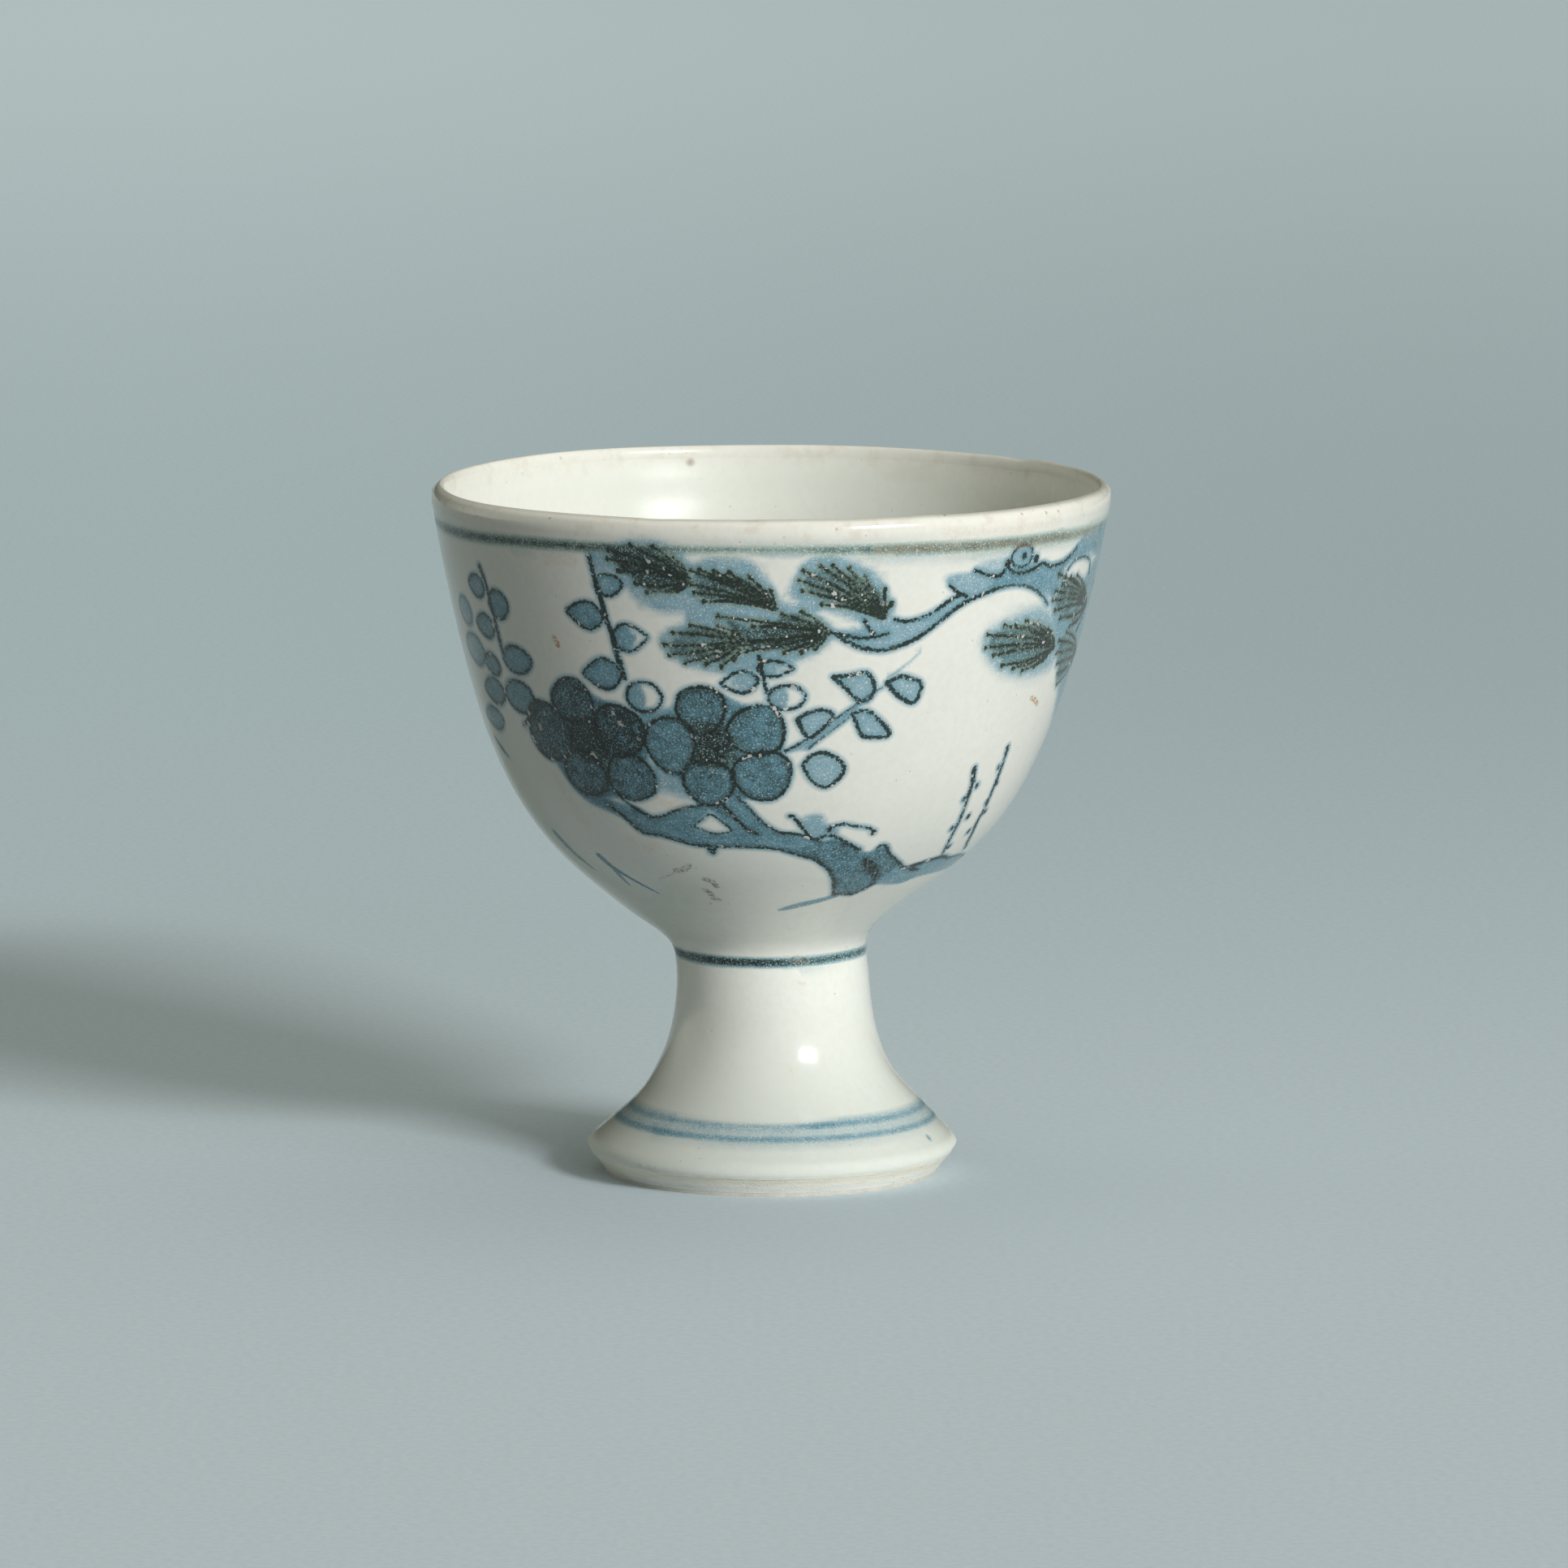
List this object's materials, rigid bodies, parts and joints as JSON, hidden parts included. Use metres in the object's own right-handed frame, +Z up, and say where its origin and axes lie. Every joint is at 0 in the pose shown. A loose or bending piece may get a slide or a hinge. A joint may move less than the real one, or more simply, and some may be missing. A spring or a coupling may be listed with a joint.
{
  "type": "stem cup",
  "caption": "Small footed porcelain cup with a deep flaring bowl luted to a hollow splayed stem, glazed inside and out, for drinking or display.",
  "frame": {"origin": "middle of the foot ring, on the plane the cup stands on", "axes": "+Z up along the cup's turning axis, -Y towards the side with the blossoming branch"},
  "size_m": [0.0586, 0.0586, 0.06],
  "materials": {
    "porcelain": "bare fired porcelain, warm off-white, matt",
    "slip": "fired luting slip, matt",
    "painted_glaze": "glossy blue-tinged clear glaze over cobalt painting",
    "plain_glaze": "glossy blue-tinged clear glaze"
  },
  "bodies": {
    "root": {"bowl": "porcelain", "stem": "porcelain", "luting_slip": "slip", "outer_glaze": "painted_glaze", "lining_glaze": "plain_glaze"}
  },
  "joints": []
}
